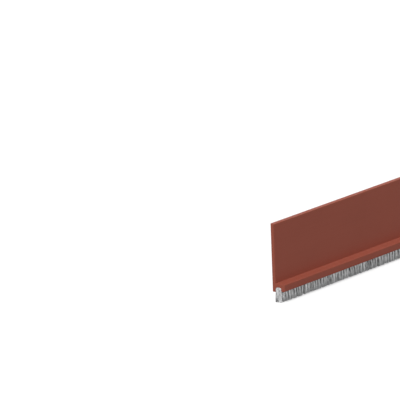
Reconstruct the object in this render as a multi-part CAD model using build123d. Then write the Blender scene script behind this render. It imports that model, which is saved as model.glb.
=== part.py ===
from build123d import *
from math import cos, sin
import os

# Door bottom brush seal: a plastic carrier that is stuck to a door, with a brush in its slot.
# Millimetres. X runs along the strip, Y points into the door and Z is up.
# The origin is the centre of the tape's outer face, so the door's surface is the plane Y = 0.

# The strip and the carrier's section
strip_length = 1000.0
plate_height = 39.0
plate_thickness = 2.0
top_fall = 0.5  # how far the top edge falls from back to front
ledge_height = 4.75  # from the plate's lower edge to the ledge's top, where it meets the plate
ledge_fall = 0.15  # how far the ledge's top falls from the plate to the lip
ledge_wall = 2.0  # plastic over the slot, beside the plate
lip_thickness = 2.4
lip_rise = 0.6  # the lip's lower edge stands this far above the plate's
slot_width = 3.8
ledge_corner_radius = 0.25
slot_corner_radius = 1.2
inner_corner_radius = 0.2  # where the ledge meets the plate
drip_edge_radius = 0.6  # the lip's lower front edge
edge_radius = 0.12

# The folded metal channel in the slot
channel_height = 2.0
channel_wall = 0.4
channel_side_clearance = 0.05

# The wire and the bristles that are folded over it
wire_diameter = 0.8
fold_thickness = 0.25  # bristles between the channel's roof and the wire
crimp_clearance = 0.02
brush_side_clearance = 0.1
brush_reach = 5.75  # bristle tips below the plate's lower edge
tuft_pitch = 2.5
tuft_groove = 0.35  # depth of the groove between two tufts
tip_notch = 0.5  # the tips are this much shorter between two tufts
tip_unevenness = 0.3

# The tape on the back
tape_thickness = 0.3
tape_width = 25.0
tape_end_gap = 2.0

# Faces of the section, seen from the strip's end
plate_back = -tape_thickness
plate_front = plate_back - plate_thickness
slot_front = plate_front - slot_width
lip_front = slot_front - lip_thickness
slot_middle = (plate_front + slot_front) / 2
plate_top = plate_height / 2
plate_low = -plate_height / 2
ledge_top = plate_low + ledge_height
ledge_front = ledge_top - ledge_fall
slot_top = ledge_top - ledge_wall
lip_low = plate_low + lip_rise
mouth = slot_top - channel_height
tips_low = plate_low - brush_reach

# Radii that a thin wall or a narrow slot limits
plate_edge = min(edge_radius, 0.4 * plate_thickness)
lip_edge = min(edge_radius, 0.3 * lip_thickness)
drip_edge = min(drip_edge_radius, 0.6 * lip_thickness)
slot_corner = min(slot_corner_radius, 0.4 * slot_width, 0.8 * (slot_top - lip_low - lip_edge))
ledge_corner = min(ledge_corner_radius, 0.8 * (ledge_front - lip_low - drip_edge))


def section(corners):
    """A face in the YZ plane from its corners, each given as (y, z, radius)."""
    outline = FilletPolyline(
        *[(y, z) for y, z, radius in corners],
        radius=[radius for y, z, radius in corners],
        close=True,
    )
    return make_face(Plane.YZ * outline)


def along_strip(face, length):
    """The face extruded along X, centred on the strip's middle."""
    return extrude(face, amount=length / 2, both=True)


def arch(y_back, y_front, z_low, z_high, corner):
    """Corners of an upright rectangle with its two upper corners rounded."""
    return [
        (y_back, z_low, 0.0),
        (y_back, z_high, corner),
        (y_front, z_high, corner),
        (y_front, z_low, 0.0),
    ]


def make_carrier():
    """One extrusion: the plate, the ledge and the lip, with the slot open at the bottom."""
    corners = [
        (plate_back, plate_low, plate_edge),
        (plate_back, plate_top, plate_edge),
        (plate_front, plate_top - top_fall, plate_edge),
        (plate_front, ledge_top, inner_corner_radius),
        (lip_front, ledge_front, ledge_corner),
        (lip_front, lip_low, drip_edge),
        (slot_front, lip_low, lip_edge),
        (slot_front, slot_top, slot_corner),
        (plate_front, slot_top, slot_corner),
        (plate_front, plate_low, plate_edge),
    ]
    return along_strip(section(corners), strip_length)


# The channel's outside follows the slot, and its roof seats on the slot's roof.
channel_back = plate_front - channel_side_clearance
channel_front = slot_front + channel_side_clearance
inside_back = channel_back - channel_wall
inside_front = channel_front + channel_wall
inside_top = slot_top - channel_wall
inside_corner = max(slot_corner - channel_wall, 0.0)


def make_channel():
    """A strip of sheet metal folded into an upside-down U."""
    corners = arch(channel_back, channel_front, mouth, slot_top, slot_corner)
    inside = arch(inside_back, inside_front, mouth, inside_top, inside_corner)
    return along_strip(section(corners + inside[::-1]), strip_length)


wire_centre = (slot_middle, inside_top - fold_thickness - wire_diameter / 2)


def wire_section(radius):
    """A circle on the wire's centre line, in the YZ plane."""
    return Plane.YZ * Pos(*wire_centre) * Circle(radius)


def make_wire():
    return along_strip(wire_section(wire_diameter / 2), strip_length)


# The tufts stand side by side, with a ridge at each tuft and a groove between two.
tuft_count = max(round(strip_length / tuft_pitch), 1)
half_pitch = strip_length / tuft_count / 2
brush_half_width = slot_width / 2 - brush_side_clearance


def tuft_station(index):
    """Place along X, half width and tip height at a ridge (even index) or a groove (odd)."""
    in_groove = index % 2
    x = -strip_length / 2 + index * half_pitch
    half_width = brush_half_width - in_groove * tuft_groove
    uneven = tip_unevenness * (1 + sin(1.7 * index) * cos(0.61 * index)) / 2
    return x, half_width, tips_low + uneven + in_groove * tip_notch


def make_tufts():
    """The bristles below the channel: a closed body with ridged sides and uneven tips."""
    stations = [tuft_station(index) for index in range(2 * tuft_count + 1)]
    front_top = [(x, slot_middle - half, mouth) for x, half, tip in stations]
    back_top = [(x, slot_middle + half, mouth) for x, half, tip in stations]
    front_tip = [(x, slot_middle - half, tip) for x, half, tip in stations]
    back_tip = [(x, slot_middle + half, tip) for x, half, tip in stations]
    outlines = [front_top + back_top[::-1]]
    for end in (0, -1):
        outlines.append([front_top[end], back_top[end], back_tip[end], front_tip[end]])
    for a in range(2 * tuft_count):
        b = a + 1
        outlines.append([front_top[a], front_top[b], front_tip[b], front_tip[a]])
        outlines.append([back_top[a], back_top[b], back_tip[b], back_tip[a]])
        outlines.append([front_tip[a], front_tip[b], back_tip[b], back_tip[a]])
    return Solid(Shell([Face(Wire.make_polygon(points)) for points in outlines]))


def make_bristles():
    """The tufts, and the fold of bristles that wraps the wire inside the channel."""
    fold = section(
        arch(
            inside_back - crimp_clearance,
            inside_front + crimp_clearance,
            mouth,
            inside_top - crimp_clearance,
            max(inside_corner - crimp_clearance, 0.0),
        )
    )
    fold -= wire_section(wire_diameter / 2 + crimp_clearance)
    return make_tufts() + along_strip(fold, strip_length)


def make_tape():
    """Double-sided tape, centred on the plate's back and a little short of its ends."""
    tape_length = strip_length - 2 * tape_end_gap
    return Pos(0, plate_back / 2, 0) * Box(tape_length, tape_thickness, tape_width)


nodes = {
    "carrier_profile": make_carrier(),
    "brush_channel": make_channel(),
    "core_wire": make_wire(),
    "bristles": make_bristles(),
    "adhesive_tape": make_tape(),
}

os.makedirs("parts", exist_ok=True)
for name, shape in nodes.items():
    export_step(shape, f"parts/{name}.step")
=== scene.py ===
import math

import bpy
import numpy as np
from mathutils import Matrix, Vector


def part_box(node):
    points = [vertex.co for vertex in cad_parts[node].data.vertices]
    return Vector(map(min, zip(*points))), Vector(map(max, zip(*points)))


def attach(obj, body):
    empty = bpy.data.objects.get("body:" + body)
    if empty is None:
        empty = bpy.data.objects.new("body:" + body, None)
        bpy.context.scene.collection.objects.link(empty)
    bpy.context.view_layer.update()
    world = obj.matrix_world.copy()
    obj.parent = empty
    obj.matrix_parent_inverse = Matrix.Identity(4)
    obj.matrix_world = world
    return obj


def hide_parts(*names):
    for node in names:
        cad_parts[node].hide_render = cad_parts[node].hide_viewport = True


# A door bottom brush seal: a red-brown plastic carrier with a grey brush in the slot along its lower edge.
# Metres. X runs along the strip, Y points into the door and Z is up.

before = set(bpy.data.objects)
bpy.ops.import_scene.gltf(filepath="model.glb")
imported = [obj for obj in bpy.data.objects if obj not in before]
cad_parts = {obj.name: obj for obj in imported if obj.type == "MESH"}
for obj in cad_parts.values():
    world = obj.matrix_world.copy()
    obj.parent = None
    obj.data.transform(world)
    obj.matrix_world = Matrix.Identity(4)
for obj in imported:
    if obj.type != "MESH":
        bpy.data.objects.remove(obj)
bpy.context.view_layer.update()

MM = 0.001

# Faces that the frame gives
carrier_low, carrier_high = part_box("carrier_profile")
channel_low, channel_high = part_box("brush_channel")
wire_low, wire_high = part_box("core_wire")
tips_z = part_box("bristles")[0].z
end_left, end_right = carrier_low.x, carrier_high.x
plate_back, lip_front = carrier_high.y, carrier_low.y
plate_low = carrier_low.z
slot_top, mouth = channel_high.z, channel_low.z
wire_radius = (wire_high.z - wire_low.z) / 2
wire_middle = (wire_high.z + wire_low.z) / 2

# The sizes of the CAD part's section, under the names that part.py gives them
plate_height = 39.0 * MM
top_fall = 0.5 * MM
ledge_wall = 2.0 * MM
ledge_fall = 0.15 * MM
lip_rise = 0.6 * MM
ledge_corner_radius = 0.25 * MM
slot_corner_radius = 1.2 * MM
inner_corner_radius = 0.2 * MM
drip_edge_radius = 0.6 * MM
edge_radius = 0.12 * MM
channel_wall = 0.4 * MM
channel_side_clearance = 0.05 * MM

# Faces that follow from them
plate_top = plate_low + plate_height
plate_front = channel_high.y + channel_side_clearance
slot_front = channel_low.y - channel_side_clearance
slot_middle = (plate_front + slot_front) / 2
ledge_top = slot_top + ledge_wall
ledge_front = ledge_top - ledge_fall
lip_low = plate_low + lip_rise

# Detail that only the looks have
cut_chamfer = 0.08 * MM  # the cut ends' edges are broken by this much
arc_steps = 10
support_gap = 0.12 * MM  # a point this far from each arc keeps the flat faces flat
wire_sides = 28
sharp_edge = 30  # degrees; a flatter edge of the solid pieces is shaded smooth


# Section outlines and meshes drawn along the strip

def fillet(before, corner, after, radius):
    """Points of the arc that rounds a corner, with a support point on the straight before and after it."""
    corner = np.array(corner)
    to_before = np.array(before) - corner
    to_after = np.array(after) - corner
    to_before /= np.linalg.norm(to_before)
    to_after /= np.linalg.norm(to_after)
    half = math.acos(float(np.clip(to_before @ to_after, -1, 1))) / 2
    reach = radius / math.tan(half)
    support = reach + support_gap
    middle = to_before + to_after
    centre = corner + middle / np.linalg.norm(middle) * radius / math.sin(half)
    start = corner + to_before * reach - centre
    end = corner + to_after * reach - centre
    sweep = math.pi - 2 * half
    arc = []
    for step in range(arc_steps + 1):
        t = step / arc_steps
        a = math.sin((1 - t) * sweep) / math.sin(sweep)
        b = math.sin(t * sweep) / math.sin(sweep)
        arc.append(centre + a * start + b * end)
    return [corner + to_before * support, *arc, corner + to_after * support]


def rounded(corners):
    """A closed outline in the YZ plane from corners given as (y, z, radius)."""
    points = []
    for index, (y, z, radius) in enumerate(corners):
        before = corners[index - 1][:2]
        after = corners[(index + 1) % len(corners)][:2]
        if radius > 0:
            points.extend(fillet(before, (y, z), after, radius))
        else:
            points.append(np.array((y, z)))
    return np.array(points)


def inset(outline, distance):
    """The outline moved inwards by a small distance."""
    ahead = np.roll(outline, -1, axis=0) - outline
    ahead /= np.linalg.norm(ahead, axis=1)[:, None]
    along = ahead + np.roll(ahead, 1, axis=0)
    along /= np.linalg.norm(along, axis=1)[:, None]
    y, z = outline.T
    turns = np.sum(y * np.roll(z, -1) - np.roll(y, -1) * z)
    inward = np.stack([-along[:, 1], along[:, 0]], axis=1) * np.sign(turns)
    return outline + inward * distance


def finished_mesh(name, points, faces, sharp_angle):
    """An object with a smooth mesh whose edges are sharp above an angle in degrees."""
    mesh = bpy.data.meshes.new(name)
    mesh.from_pydata(points.tolist(), [], faces)
    mesh.update()
    mesh.shade_smooth()
    mesh.set_sharp_from_angle(angle=math.radians(sharp_angle))
    made = bpy.data.objects.new(name, mesh)
    bpy.context.scene.collection.objects.link(made)
    return made


def drawn_along(name, outline, x_from, x_to, chamfer):
    """The outline drawn along X with flat ends, whose edges are broken by a small chamfer."""
    stations = [(x_from, chamfer), (x_from + chamfer, 0.0), (x_to - chamfer, 0.0), (x_to, chamfer)]
    rings = []
    for x, distance in stations:
        ring = inset(outline, distance)
        rings.append(np.column_stack([np.full(len(ring), x), ring]))
    count = len(outline)
    last = (len(rings) - 1) * count
    faces = [list(range(count))[::-1], list(range(last, last + count))]
    for start in range(0, last, count):
        for a in range(count):
            b = (a + 1) % count
            faces.append([start + a, start + b, start + count + b, start + count + a])
    return finished_mesh(name, np.concatenate(rings), faces, sharp_edge)


def make_carrier():
    outline = rounded([
        (plate_back, plate_low, edge_radius),
        (plate_back, plate_top, edge_radius),
        (plate_front, plate_top - top_fall, edge_radius),
        (plate_front, ledge_top, inner_corner_radius),
        (lip_front, ledge_front, ledge_corner_radius),
        (lip_front, lip_low, drip_edge_radius),
        (slot_front, lip_low, edge_radius),
        (slot_front, slot_top, slot_corner_radius),
        (plate_front, slot_top, slot_corner_radius),
        (plate_front, plate_low, edge_radius),
    ])
    return drawn_along("carrier", outline, end_left, end_right, cut_chamfer)


def make_channel():
    y_back, y_front = channel_high.y, channel_low.y
    outer = [
        (y_back, mouth, 0.0),
        (y_back, slot_top, slot_corner_radius),
        (y_front, slot_top, slot_corner_radius),
        (y_front, mouth, 0.0),
    ]
    inner_radius = slot_corner_radius - channel_wall
    inner = [
        (y_front + channel_wall, mouth, 0.0),
        (y_front + channel_wall, slot_top - channel_wall, inner_radius),
        (y_back - channel_wall, slot_top - channel_wall, inner_radius),
        (y_back - channel_wall, mouth, 0.0),
    ]
    return drawn_along("channel", rounded(outer + inner), end_left, end_right, cut_chamfer)


def make_wire():
    angles = np.arange(wire_sides) * 2 * math.pi / wire_sides
    circle = np.column_stack([np.cos(angles), np.sin(angles)]) * wire_radius
    outline = circle + (slot_middle, wire_middle)
    return drawn_along("wire", outline, end_left, end_right, cut_chamfer)


# The brush

SEED = 7
brush_blocks = 6
painted_tip_height = 4.5 * MM  # the strands are painted paler over this height above their tips, as painted light against the shade near the floor

# Half the brush's width, from the channel down to the tips
root_z = mouth + 0.4 * MM
root_half = 1.33 * MM
mouth_half = 1.38 * MM
exit_half = 1.75 * MM
flare_half = 2.0 * MM
tip_half = 2.15 * MM
flare_drop = 2.2 * MM  # flare_half is reached this far below the slot's edge

# Strands in rows: the outer rows run up into the channel, and the inner ones are stubs at the tips
strand_radius = 0.11 * MM
strand_sides = 3
strand_pitch = 0.215 * MM
row_gap = 0.2 * MM
outer_rows = 3
stub_pitch = 0.27 * MM
stub_length = 2.6 * MM
pitch_noise = 0.35  # of a pitch
across_noise = 0.02  # of half the brush's width

# Locks of strands that hang together, and how much each strand strays from its lock
lock_width = (0.8 * MM, 1.8 * MM)
most_locks = 1200
lock_tone = 0.52
lock_swing = (0.12, 0.5)  # locks are darker and paler in turn by this much
lock_tone_noise = 0.06
lock_pull = (-0.15, 0.45)  # the share of its way to the lock's centre that a strand leans
lock_lean = 0.55 * MM
lock_stand = (-0.2 * MM, 0.12 * MM)  # out of the brush's side
lock_rise = (0.0, 0.2 * MM)
strand_lean = 0.07 * MM
strand_stand = 0.04 * MM
strand_rise = (0.0, 0.35 * MM)
strand_tone_noise = 0.17

# The brush's ends, where the strands are modelled in full and run over the wire
end_depth = 0.9 * MM
end_stand = 0.35 * MM  # the brush stands this far out of the carrier's ends
end_splay = 0.3 * MM  # the outermost strands lean out this far at the tips
end_overhang = 0.5 * MM  # no strand leans out further than this
end_strands = 11
layer_start = 0.55  # of a row's gap
fold_steps = 9
root_bulge = 0.35 * wire_radius
# The end strands are painted paler than the locks along the sides, as painted light for the brightly lit end
# faces.
end_lit_tone = 0.62
end_tone_noise = 0.05

# The core that stands in for the imported bristles and fills the brush behind its outer strands
core_depth = 0.7 * MM
core_rise = 1.8 * MM  # above the tips
core_end = 0.6 * MM  # in from the carrier's ends

rng = np.random.default_rng(SEED)


def make_locks():
    """Locks along one side of the brush: their right edges and what each does to its strands."""
    edges = end_left + np.cumsum(rng.uniform(*lock_width, most_locks))
    edges = edges[: np.searchsorted(edges, end_right) + 1]
    count = len(edges)
    swing = np.where(np.arange(count) % 2, 1, -1) * rng.uniform(*lock_swing, count)
    tone = lock_tone + swing + rng.normal(0, lock_tone_noise, count)
    return {
        "edges": edges,
        "centre": edges - np.diff(edges, prepend=end_left) / 2,
        "tone": tone,
        "pull": rng.uniform(*lock_pull, count),
        "lean": rng.normal(0, lock_lean, count),
        "stand": rng.uniform(*lock_stand, count),
        "rise": rng.uniform(*lock_rise, count),
    }


def brush_half(z, exit_z):
    """Half the brush's width at a height."""
    heights = [tips_z, exit_z - flare_drop, exit_z, mouth, root_z]
    halves = [tip_half, flare_half, exit_half, mouth_half, root_half]
    return np.interp(z, heights, halves)


def strand_lines(x, across, locks):
    """Centre lines of strands from the channel to the tips, and each strand's tone.

    across runs from -1 at the back of the brush to 1 at its front.
    """
    lock = np.minimum(np.searchsorted(locks["edges"], x), len(locks["edges"]) - 1)
    count = len(x)
    lean = locks["lean"][lock] + (locks["centre"][lock] - x) * locks["pull"][lock]
    lean += rng.normal(0, strand_lean, count)
    near_end = np.clip(1 - (end_right - np.abs(x)) / end_depth, 0, 1)
    lean += np.sign(x) * near_end * end_splay
    lean = np.clip(lean, end_left - end_overhang - x, end_right + end_overhang - x)
    stand = locks["stand"][lock] + rng.normal(0, strand_stand, count)
    tip = tips_z + locks["rise"][lock] + rng.uniform(*strand_rise, count)
    exit_z = np.where(across > 0, lip_low, plate_low)
    levels = [np.full(count, root_z), exit_z, exit_z - flare_drop, tip]
    points = []
    for z in levels:
        half = np.where(across > 0, brush_half(z, lip_low), brush_half(z, plate_low))
        share = np.clip((exit_z - z) / (exit_z - tips_z), 0, 1)
        y = slot_middle - across * half - np.sign(across) * stand * share
        points.append(np.column_stack([x + lean * share, y, z]))
    tone = np.clip(locks["tone"][lock] + rng.normal(0, strand_tone_noise, count), 0, 1)
    return np.stack(points, axis=1), tone


def tubes(lines, tone):
    """Thin tubes round centre lines of equal length: points, faces and each point's tone."""
    count, rings = lines.shape[:2]
    tangent = np.gradient(lines, axis=1)
    tangent[..., 0] = 0
    tangent /= np.linalg.norm(tangent, axis=2)[..., None]
    along_x = np.array([1.0, 0.0, 0.0])
    sideways = np.cross(tangent, along_x)
    turn = rng.uniform(0, 2 * math.pi, count)
    corners = []
    for side in range(strand_sides):
        angle = turn + side * 2 * math.pi / strand_sides
        offset = np.cos(angle)[:, None, None] * along_x + np.sin(angle)[:, None, None] * sideways
        corners.append(lines + offset * strand_radius)
    points = np.stack(corners, axis=2).reshape(-1, 3)
    first = (np.arange(count) * rings * strand_sides)[:, None]
    quads = []
    for ring in range(rings - 1):
        for a in range(strand_sides):
            b = (a + 1) % strand_sides
            here, there = ring * strand_sides, (ring + 1) * strand_sides
            quads.append(first + [here + a, here + b, there + b, there + a])
    last = (rings - 1) * strand_sides
    caps = first + np.arange(last, last + strand_sides)
    per_strand = rings * strand_sides
    faces = np.concatenate(quads).tolist() + caps.tolist()
    return points, faces, np.repeat(tone, per_strand)


def strand_object(name, bundles):
    """One object from several bundles of (centre lines, tone)."""
    points, faces, tones = [], [], []
    start = 0
    for lines, tone in bundles:
        some_points, some_faces, some_tones = tubes(lines, tone)
        faces.extend([[corner + start for corner in face] for face in some_faces])
        start += len(some_points)
        points.append(some_points)
        tones.append(some_tones)
    made = finished_mesh(name, np.concatenate(points), faces, 180)
    smooth = np.array([len(face) == 4 for face in faces])  # the sides are quads, and the caps stay flat
    made.data.polygons.foreach_set("use_smooth", smooth)
    attribute = made.data.attributes.new("tone", "FLOAT", "POINT")
    attribute.data.foreach_set("value", np.concatenate(tones).astype(np.float32))
    return made


def spaced(pitch):
    """Places along the strip about a pitch apart, clear of the brush's ends."""
    count = round((end_right - end_left) / pitch)
    x = end_left + (np.arange(count) + 0.5) * (end_right - end_left) / count
    x += rng.uniform(-pitch_noise, pitch_noise, count) * pitch
    return x[np.abs(x) < end_right - end_depth]


def make_brush():
    """The strands in blocks along the strip."""
    sides = {1: make_locks(), -1: make_locks()}
    full = []
    for side, locks in sides.items():
        for row in range(outer_rows):
            x = spaced(strand_pitch)
            across = side * (1 - row * row_gap / tip_half) + rng.normal(0, across_noise, len(x))
            full.append(strand_lines(x, across, locks))
    stubs = []
    inner = 1 - outer_rows * row_gap / tip_half
    stub_rows = round(2 * inner * tip_half / stub_pitch)
    for row in range(stub_rows):
        x = spaced(stub_pitch)
        across = inner * (2 * (row + 0.5) / stub_rows - 1) + rng.normal(0, across_noise, len(x))
        side = 1 if row * 2 >= stub_rows else -1
        lines, tone = strand_lines(x, across, sides[side])
        tip = lines[:, -1]
        head = tip + (lines[:, -2] - tip) * stub_length / (lines[:, -2, 2] - tip[:, 2])[:, None]
        stubs.append((np.stack([head, tip], axis=1), tone))
    edges = np.linspace(end_left, end_right, brush_blocks + 1)
    blocks = []
    for index in range(brush_blocks):
        bundles = []
        for lines, tone in full + stubs:
            x = lines[:, 0, 0]
            here = (x >= edges[index]) & (x < edges[index + 1])
            bundles.append((lines[here], tone[here]))
        blocks.append(strand_object(f"bristles_{index + 1}", bundles))
    return blocks


def make_brush_ends():
    """At both ends, where the fold shows, strands that run up, round the wire and down again."""
    fold_side = root_half - wire_radius
    fold_top = (slot_top - channel_wall) - (wire_middle + wire_radius) - strand_radius * 2
    locks = make_locks()
    bundles = []
    layers = round((end_depth + end_stand) / row_gap)
    for end, inward in ((end_left, 1), (end_right, -1)):
        for layer in range(layers):
            # 0 for a strand beside the wire, and 1 for one beside the channel
            share = (np.arange(end_strands) + rng.uniform(0.2, 0.8, end_strands)) / end_strands
            x = np.full(end_strands, end + inward * ((layer + layer_start) * row_gap - end_stand))
            front = strand_lines(x, share, locks)[0]
            back = strand_lines(x, -share, locks)[0]
            root_reach = strand_radius + share * (root_half - strand_radius) + (1 - share) * root_bulge
            front[:, 0, 1] = slot_middle - root_reach
            back[:, 0, 1] = slot_middle + root_reach
            y_reach = wire_radius + strand_radius + share * (fold_side - strand_radius)
            z_reach = wire_radius + strand_radius + share * fold_top
            fold = []
            for angle in np.linspace(0, math.pi, fold_steps):
                y = slot_middle - np.cos(angle) * y_reach
                z = wire_middle + np.sin(angle) * z_reach
                fold.append(np.column_stack([x, y, z]))
            lines = np.concatenate([front[:, ::-1], np.stack(fold, axis=1), back], axis=1)
            # painted light: the end strands take the paler tone of a lit end face
            tone = np.clip(end_lit_tone + rng.normal(0, end_tone_noise, end_strands), 0, 1)
            bundles.append((lines, tone))
    return strand_object("bristle_ends", bundles)


def make_brush_core():
    """The inside of the brush, which keeps light from passing between the outer strands."""
    outline = []
    for across, exit_z in ((1, lip_low), (-1, plate_low)):
        heights = [tips_z + core_rise, exit_z - flare_drop, exit_z, mouth]
        side = [(slot_middle - across * (brush_half(z, exit_z) - core_depth), z) for z in heights]
        outline.extend(side[::across])
    x_from, x_to = end_left + core_end, end_right - core_end
    return drawn_along("bristle_core", np.array(outline), x_from, x_to, cut_chamfer)


# Materials

class Shader:
    """A material's nodes, with a short call for each kind that the materials use."""

    def __init__(self, name):
        self.material = bpy.data.materials.new(name)
        self.material.use_nodes = True
        self.tree = self.material.node_tree
        self.surface = self.tree.nodes["Principled BSDF"]

    def node(self, kind, inputs=None, **settings):
        made = self.tree.nodes.new("ShaderNode" + kind)
        for key, value in settings.items():
            setattr(made, key, value)
        for key, value in (inputs or {}).items():
            self.put(made.inputs[key], value)
        return made

    def put(self, socket, value):
        if isinstance(value, bpy.types.NodeSocket):
            self.tree.links.new(value, socket)
        else:
            socket.default_value = value

    def set(self, **values):
        """Sets the surface's own sockets, with underscores for spaces."""
        for key, value in values.items():
            self.put(self.surface.inputs[key.replace("_", " ")], value)

    def noise(self, per_metre, detail=2.0):
        """Noise from 0 to 1 with that many features a metre along X, Y and Z."""
        place = self.node("TexCoord").outputs["Object"]
        mapped = self.node("Mapping", {"Vector": place, "Scale": per_metre})
        made = self.node("TexNoise", {"Vector": mapped.outputs["Vector"], "Scale": 1.0, "Detail": detail})
        return self.stretch(made.outputs["Fac"], 0.3, 0.7, 0.0, 1.0)

    def stretch(self, value, from_low, from_high, to_low, to_high):
        made = self.node("MapRange", {
            "Value": value, "From Min": from_low, "From Max": from_high, "To Min": to_low, "To Max": to_high,
        })
        return made.outputs["Result"]

    def math(self, operation, a, b=0.0):
        made = self.node("Math", {0: a, 1: b}, operation=operation)
        return made.outputs["Value"]

    def mix(self, factor, a, b):
        made = self.node("Mix", data_type="RGBA")
        sockets = {s.identifier: s for s in made.inputs}
        self.put(sockets["Factor_Float"], factor)
        self.put(sockets["A_Color"], a)
        self.put(sockets["B_Color"], b)
        return next(s for s in made.outputs if s.identifier == "Result_Color")

    def bump(self, height, distance):
        made = self.node("Bump", {"Height": height, "Distance": distance, "Strength": 1.0})
        return made.outputs["Normal"]

    def attribute(self, name):
        return self.node("Attribute", attribute_name=name).outputs["Fac"]

    def cut_end(self):
        """1 on faces that look along X, which the saw has cut, and 0 elsewhere; it marks the rougher cut
        ends and their painted light.
        """
        normal = self.node("NewGeometry").outputs["True Normal"]
        x = self.node("SeparateXYZ", {"Vector": normal}).outputs["X"]
        return self.stretch(self.math("ABSOLUTE", x), 0.85, 0.95, 0.0, 1.0)


def colour(red, green, blue):
    return (red, green, blue, 1.0)


def carrier_plastic():
    """Satin extruded plastic with faint lines from the die, and rougher cut ends with saw marks, whose paler
    colour is painted light for the lit end faces.
    """
    s = Shader("carrier_plastic")
    die_lines = s.noise((5, 1400, 1400), 4.0)
    clouds = s.noise((30, 45, 45), 3.0)
    grain = s.noise((5000, 9000, 9000))
    tone = s.math("ADD", s.math("MULTIPLY", die_lines, 0.45), s.math("MULTIPLY", clouds, 0.55))
    body = s.mix(tone, colour(0.241, 0.061, 0.039), colour(0.265, 0.071, 0.047))
    # The saw marks on the cut ends are real; their paler colour is painted light for the end faces, which
    # the lamps light more.
    saw_marks = s.noise((50, 350, 7000), 3.0)
    sawn_and_lit = s.mix(saw_marks, colour(0.262, 0.068, 0.045), colour(0.300, 0.087, 0.059))
    cut = s.cut_end()
    s.set(
        Base_Color=s.mix(cut, body, sawn_and_lit),
        Roughness=s.math("ADD", s.stretch(tone, 0.0, 1.0, 0.4, 0.52), s.math("MULTIPLY", cut, 0.18)),
        Specular_IOR_Level=0.08,
    )
    long_relief = s.math("ADD", s.math("MULTIPLY", die_lines, 0.7), s.math("MULTIPLY", grain, 0.3))
    relief = s.math("ADD", s.math("MULTIPLY", s.math("SUBTRACT", 1.0, cut), long_relief),
                    s.math("MULTIPLY", cut, s.math("MULTIPLY", saw_marks, 2.0)))
    s.set(Normal=s.bump(relief, 0.012 * MM))
    return s.material


def steel(name, dark, light, smoothest, roughest):
    """Drawn or rolled zinc-coated steel, with fine lines along X and dull patches."""
    s = Shader(name)
    lines = s.noise((20, 8000, 8000), 3.0)
    patches = s.noise((250, 600, 600), 4.0)
    tone = s.math("ADD", s.math("MULTIPLY", lines, 0.5), s.math("MULTIPLY", patches, 0.5))
    s.set(
        Base_Color=s.mix(tone, dark, light),
        Metallic=1.0,
        Roughness=s.stretch(patches, 0.0, 1.0, smoothest, roughest),
        Normal=s.bump(lines, 0.006 * MM),
    )
    return s.material


def bristle_fibre():
    """Grey filaments: each has its own tone and is mottled, and painted light makes it paler towards its
    tip.
    """
    s = Shader("bristle_fibre")
    tone = s.attribute("tone")
    height = s.node("SeparateXYZ", {"Vector": s.node("TexCoord").outputs["Object"]}).outputs["Z"]
    flecks = s.noise((2500, 2500, 500))
    crossings = s.stretch(s.noise((950, 950, 330)), 0.0, 1.0, -0.65, 0.65)
    mottling = s.math("MULTIPLY", crossings, s.stretch(tone, 0.0, 1.0, 1.1, 0.1))
    shade = s.math("ADD", s.math("ADD", tone, mottling), s.stretch(flecks, 0.0, 1.0, -0.08, 0.08))
    body = s.mix(shade, colour(0.08, 0.081, 0.083), colour(0.95, 0.952, 0.956))
    # Painted light: the colour grows paler towards the tips, against the shade near the floor.
    tip_painted_light = s.stretch(height, tips_z + painted_tip_height, tips_z, 0.0, 0.6)
    s.set(
        Base_Color=s.mix(tip_painted_light, body, colour(0.92, 0.925, 0.93)),
        Roughness=s.stretch(flecks, 0.0, 1.0, 0.4, 0.6),
        Specular_IOR_Level=0.3,
    )
    return s.material


def bristle_shade():
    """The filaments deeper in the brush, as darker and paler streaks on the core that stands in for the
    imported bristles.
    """
    s = Shader("bristle_shade")
    streaks = s.noise((1800, 1800, 90), 3.0)
    s.set(
        Base_Color=s.mix(streaks, colour(0.30, 0.302, 0.305), colour(0.70, 0.705, 0.71)),
        Roughness=s.stretch(streaks, 0.0, 1.0, 0.55, 0.8),
        Specular_IOR_Level=0.2,
        Normal=s.bump(streaks, 0.15 * MM),
    )
    return s.material


def tape_adhesive():
    """Tacky off-white adhesive over a thin tissue, whose fibres show through."""
    s = Shader("tape_adhesive")
    fibres_along = s.noise((120, 2600, 1500), 4.0)
    fibres_across = s.noise((1500, 2600, 120), 4.0)
    fibres = s.math("MAXIMUM", fibres_along, fibres_across)
    clouds = s.noise((60, 60, 90), 4.0)
    pale = s.mix(clouds, colour(0.70, 0.68, 0.61), colour(0.80, 0.785, 0.73))
    s.set(
        Base_Color=s.mix(s.stretch(fibres, 0.5, 1.0, 0.0, 0.5), pale, colour(0.88, 0.875, 0.85)),
        Roughness=s.stretch(clouds, 0.0, 1.0, 0.22, 0.42),
        Normal=s.bump(fibres, 0.03 * MM),
    )
    return s.material


# Stage

def new_sun(name, towards, strength, softness):
    """A sun lamp that shines from the direction towards, as soft as a disc of that many degrees."""
    lamp = bpy.data.lights.new(name, "SUN")
    lamp.energy = strength
    lamp.angle = math.radians(softness)
    made = bpy.data.objects.new(name, lamp)
    made.rotation_mode = "QUATERNION"
    made.rotation_quaternion = Vector(towards).to_track_quat("Z", "Y")
    bpy.context.scene.collection.objects.link(made)


def shown_background(tree):
    """1 for rays that should meet a white background, and 0 for rays that light the object."""
    path = tree.nodes.new("ShaderNodeLightPath")
    total = path.outputs["Is Camera Ray"]
    for name in ("Is Glossy Ray", "Is Transmission Ray"):
        add = tree.nodes.new("ShaderNodeMath")
        add.operation = "MAXIMUM"
        tree.links.new(total, add.inputs[0])
        tree.links.new(path.outputs[name], add.inputs[1])
        total = add.outputs["Value"]
    return total


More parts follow.
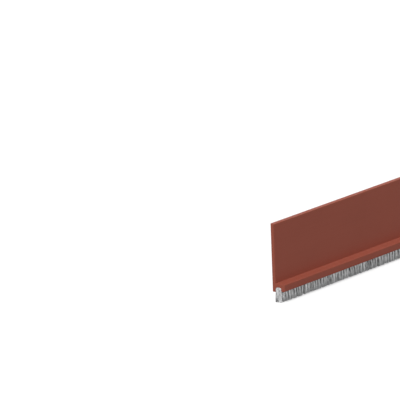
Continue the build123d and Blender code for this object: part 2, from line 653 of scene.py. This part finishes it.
def make_world(ambient):
    world = bpy.data.worlds.new("studio")
    world.use_nodes = True
    tree = world.node_tree
    background = tree.nodes["Background"]
    background.inputs["Color"].default_value = colour(1.0, 1.0, 1.0)
    level = tree.nodes.new("ShaderNodeMapRange")
    tree.links.new(shown_background(tree), level.inputs["Value"])
    level.inputs["To Min"].default_value = ambient
    level.inputs["To Max"].default_value = 1.0
    tree.links.new(level.outputs["Result"], background.inputs["Strength"])
    bpy.context.scene.world = world


floor_lit = 0.15  # grey that the light on the object meets
floor_shown = 0.4  # grey that the camera sees, under the shadow
floor_glow = 0.56  # light that the camera sees added to it, up to white


def make_floor(height, reach):
    """A floor that looks white and keeps the object's shadow, but throws little light back at the object."""
    corners = ((-reach, -reach), (reach, -reach), (reach, reach), (-reach, reach))
    points = np.array([(x, y, height) for x, y in corners])
    floor = finished_mesh("floor", points, [[0, 1, 2, 3]], sharp_edge)
    material = bpy.data.materials.new("floor_white")
    material.use_nodes = True
    tree = material.node_tree
    tree.nodes.remove(tree.nodes["Principled BSDF"])
    lit = tree.nodes.new("ShaderNodeBsdfDiffuse")
    lit.inputs["Color"].default_value = colour(floor_lit, floor_lit, floor_lit)
    shown_lit = tree.nodes.new("ShaderNodeBsdfDiffuse")
    shown_lit.inputs["Color"].default_value = colour(floor_shown, floor_shown, floor_shown)
    glow = tree.nodes.new("ShaderNodeEmission")
    glow.inputs["Strength"].default_value = floor_glow
    both = tree.nodes.new("ShaderNodeAddShader")
    tree.links.new(shown_lit.outputs["BSDF"], both.inputs[0])
    tree.links.new(glow.outputs["Emission"], both.inputs[1])
    choice = tree.nodes.new("ShaderNodeMixShader")
    tree.links.new(shown_background(tree), choice.inputs["Fac"])
    tree.links.new(lit.outputs["BSDF"], choice.inputs[1])
    tree.links.new(both.outputs["Shader"], choice.inputs[2])
    tree.links.new(choice.outputs["Shader"], tree.nodes["Material Output"].inputs["Surface"])
    floor.data.materials.append(material)


def make_camera():
    """The photograph's view: a long lens, looking along the strip from its left end."""
    eye = (-3.3105, -2.0790, 0.8713)
    azimuth, elevation, roll = math.radians(-52.883), math.radians(13.467), math.radians(-2.151)
    image_width, focal_pixels = 400, 6507.6
    back = Vector((
        math.sin(azimuth) * math.cos(elevation),
        -math.cos(azimuth) * math.cos(elevation),
        math.sin(elevation),
    ))
    level_right = Vector((math.cos(azimuth), math.sin(azimuth), 0.0))
    level_up = back.cross(level_right)
    right = level_right * math.cos(roll) + level_up * math.sin(roll)
    up = level_up * math.cos(roll) - level_right * math.sin(roll)
    data = bpy.data.cameras.new("camera")
    data.sensor_width = 36.0
    data.lens = focal_pixels * data.sensor_width / image_width
    data.clip_start = 0.05
    data.clip_end = 60.0
    camera = bpy.data.objects.new("camera", data)
    turn = Matrix((right, up, back)).transposed().to_4x4()
    camera.matrix_world = Matrix.Translation(eye) @ turn
    bpy.context.scene.collection.objects.link(camera)
    bpy.context.scene.camera = camera


# The object

plastic = carrier_plastic()
channel_steel = steel("channel_steel", colour(0.38, 0.385, 0.39), colour(0.54, 0.545, 0.55), 0.4, 0.6)
wire_steel = steel("wire_steel", colour(0.50, 0.50, 0.505), colour(0.66, 0.66, 0.665), 0.35, 0.55)
fibre = bristle_fibre()
shade = bristle_shade()


def dress(piece, material):
    piece.data.materials.append(material)
    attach(piece, "root")


for made, material, slot, node in (
    (make_carrier(), plastic, "carrier_plastic", "carrier_profile"),
    (make_channel(), channel_steel, "channel_steel", "brush_channel"),
    (make_wire(), wire_steel, "wire_steel", "core_wire"),
    (make_brush_core(), shade, "bristle_fibre", "bristles"),
):
    dress(made, material)
    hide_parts(node)

for block in make_brush() + [make_brush_ends()]:
    dress(block, fibre)
    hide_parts("bristles")

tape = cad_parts["adhesive_tape"]
tape.material_slots[0].material = tape_adhesive()

make_floor(height=tips_z, reach=9.0)
make_world(ambient=0.38)
new_sun("key", (-0.48, -0.12, 0.87), strength=2.85, softness=12)
new_sun("front", (-0.58, -0.8, 0.12), strength=1.4, softness=30)
new_sun("fill", (0.55, 0.8, 0.25), strength=1.4, softness=40)
make_camera()
bpy.context.scene.view_settings.view_transform = "Standard"
